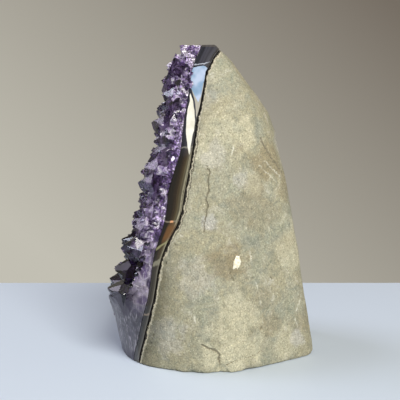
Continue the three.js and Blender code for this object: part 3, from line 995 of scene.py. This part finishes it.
# %% [markdown]
# Clear amethyst: quartz coloured by a trace of iron, with an index of 1.544. Its faces are as
# smooth as glass, so they flash where they mirror a lamp and are nearly black where they look into
# the depth. The absorption gives a reddish violet that deepens with thickness. The surface colour
# adds the zoning: almost none at the pale root and much at the tip, read from the distance to the
# cloudy core. The crystals low down are painted darkest, as painted shade, and no two faces are
# quite alike.

# %% Clear amethyst
QUARTZ = 1.544
DYE = {"Color": colour("#a87fc8"), "Density": 165.0}
# painted shade: the druse gets darker towards its foot
SHADED_FOOT = {"From Min": 76 * MM, "From Max": 50 * MM}
FOOT_SHADE_VIOLET = "#4a3066"

clear, tree, place, height = new_material("clear amethyst")
at = {name: add(tree, "Attribute", attribute_name=name).outputs["Fac"] for name in ("depth", "facet")}
deep = add(tree, "Math", {0: at["depth"], 1: 8.0}, operation="DIVIDE")  # 1 at 8 mm from the core
zones = ((0.22, "#fbf8fc"), (0.45, "#cbbcd4"), (0.65, "#8f76a2"), (0.95, "#4c3661"))
zone = add(tree, "ValToRGB", {"Fac": deep.outputs[0]}, stops=zones).outputs["Color"]
# painted shade towards the foot
painted_foot_shade = add(tree, "MapRange", {"Value": height, **SHADED_FOOT, "To Max": 0.92})
shades = ((0.0, "#7d6b8f"), (0.6, 1.0))
shade = add(tree, "ValToRGB", {"Fac": at["facet"]}, stops=shades).outputs["Color"]
tone = coated(tree, zone, (painted_foot_shade.outputs[0], FOOT_SHADE_VIOLET, "MULTIPLY"), (1.0, shade, "MULTIPLY"))
dulled = {"From Min": 0.55, "From Max": 1.0, "To Min": 0.04, "To Max": 0.34}
rough = add(tree, "MapRange", {"Value": at["facet"], **dulled}).outputs[0]
close(tree, {"Base Color": tone, "Roughness": rough, "IOR": QUARTZ, "Transmission Weight": 1.0}, DYE)

# %% [markdown]
# Etched amethyst: patches of crystal face, most of them down at the roots, that acids in the rock
# have eaten into frost. To the eye they are pale lilac and white, with a violet shine from inside.

# %% Etched amethyst
frosted, tree, place, height = new_material("etched amethyst")
frost = noisy(
    tree, place, 2.0, (0.36, "#7a60a0"), (0.48, "#b8a3cd"), (0.6, "#f7f3fa"),
    detail=4.0, rough=0.7,
)
# painted shade towards the foot
painted_foot_shade = add(tree, "MapRange", {"Value": height, **SHADED_FOOT, "To Max": 0.9})
tone = coated(tree, frost, (painted_foot_shade.outputs[0], FOOT_SHADE_VIOLET, "MULTIPLY"))
close(tree, {"Base Color": tone, "Roughness": 0.32, "IOR": QUARTZ, "Transmission Weight": 0.4}, DYE)

# %% [markdown]
# Ground amethyst is the same quartz with a broken or rubbed skin. Each grain is tilted, so it catches
# the light its own way, and a broken facet has a tone of its own, from white to dark violet, that is
# partly its colour and partly painted glint and shade. On it lie specks about 1 mm wide, painted
# glints and shade, a little coarser than they are, so that they show. Lower down, the cut prisms
# are cells of 6.5 mm with pale frosted edges, and fine pale scratches run down the foot, which is
# painted dark grey-blue: smooth quartz with painted shade and a painted reflection of the table.

# %% Ground amethyst
cut, tree, place, height = new_material("ground amethyst")
at = {name: add(tree, "Attribute", attribute_name=name).outputs["Fac"] for name in ("tone", "rim", "low_shade")}
# each grain's tone, from dark violet to white, is partly its colour and partly painted glint and shade
broken_tones = (
    (0.0, "#33204a"), (0.3, "#664f80"), (0.6, "#a18fb5"), (1.0, "#ece6f0"),
)
sawn_tones = ((0.0, "#4f3d69"), (0.5, "#7d6b93"), (1.0, "#a596b6"))
broken = add(tree, "ValToRGB", {"Fac": at["tone"]}, stops=broken_tones).outputs["Color"]
sawn = add(tree, "ValToRGB", {"Fac": at["tone"]}, stops=sawn_tones).outputs["Color"]
# painted glints and shade: bright and dark specks about 1 mm wide
glint_specks = noisy(tree, place, 1.1, (0.38, 0.3), (0.47, 0.8), (0.55, 1.2), (0.62, 2.6), detail=2.0, rough=0.7)
clouds = noisy(tree, place, 4, (0.34, 0.4), (0.5, 0.95), (0.64, 1.6), detail=6.0, rough=0.75)
edge = ((0.0, 0.8), (0.35, 0.45), (0.9, 0.0))
frosted_edge = add(tree, "ValToRGB", {"Fac": at["rim"]}, stops=edge).outputs["Color"]
# the foot is painted dark grey-blue: smooth quartz with painted shade and a painted reflection of the table
smooth = noisy(tree, place, 6, (0.36, "#34343d"), (0.64, "#54545e"))
foot = add(tree, "MapRange", {"Value": height, "From Min": 42 * MM, "From Max": 26 * MM, "To Max": 0.9})
drawn = add(tree, "Mapping", {"Vector": place, "Scale": (per(1.0), per(1.0), per(6.0))})
streak = add(tree, "TexNoise", {"Vector": drawn.outputs[0], "Scale": 1.0, "Detail": 3.0, "Distortion": 0.6})
scratch = add(tree, "ValToRGB", {"Fac": streak.outputs["Fac"]}, stops=((0.56, 0.0), (0.66, 0.75)))
upper = add(tree, "MapRange", {"Value": height, "From Min": 54 * MM, "From Max": 70 * MM})
broken = coated(tree, broken, (1.0, glint_specks, "MULTIPLY"))
tone = coated(
    tree, sawn,
    (frosted_edge, "#cdc4d3", "MIX"),
    (0.9, clouds, "MULTIPLY"),
    (foot.outputs[0], smooth, "MIX"),
    (scratch.outputs["Color"], "#d9d2de", "MIX"),
    # painted shade low down beside the ground faces
    (at["low_shade"], "#352a42", "MIX"),
    (upper.outputs[0], broken, "MIX"),
)
close(tree, {"Base Color": tone, "Roughness": 0.3, "IOR": QUARTZ, "Transmission Weight": 0.35}, DYE)

# %% [markdown]
# Cloudy quartz: milky from tiny bubbles and cracks, matte, in clouds of 5 mm that go from white to
# a violet that is nearly black.

# %% Cloudy quartz
milky, tree, place, height = new_material("cloudy quartz")
clouds = noisy(
    tree, place, 5,
    (0.38, "#2b1e38"), (0.45, "#77658a"), (0.51, "#cfc4d6"), (0.57, "#fdfbfd"),
    detail=6.0, rough=0.7, bend=0.8,
)
# painted shade towards the foot
painted_foot_shade = add(tree, "MapRange", {"Value": height, "From Min": 70 * MM, "From Max": 45 * MM, "To Max": 0.8})
tone = coated(tree, clouds, (painted_foot_shade.outputs[0], "#7a678a", "MULTIPLY"))
close(tree, {"Base Color": tone, "Roughness": 0.6})

finished("amethyst_crystals", crystals, [clear, cut, frosted], "amethyst_druse")
finished("cloudy_core", core, [milky])

# %% [markdown]
# ## View

# %% View
bpy.context.scene.view_settings.view_transform = "Standard"
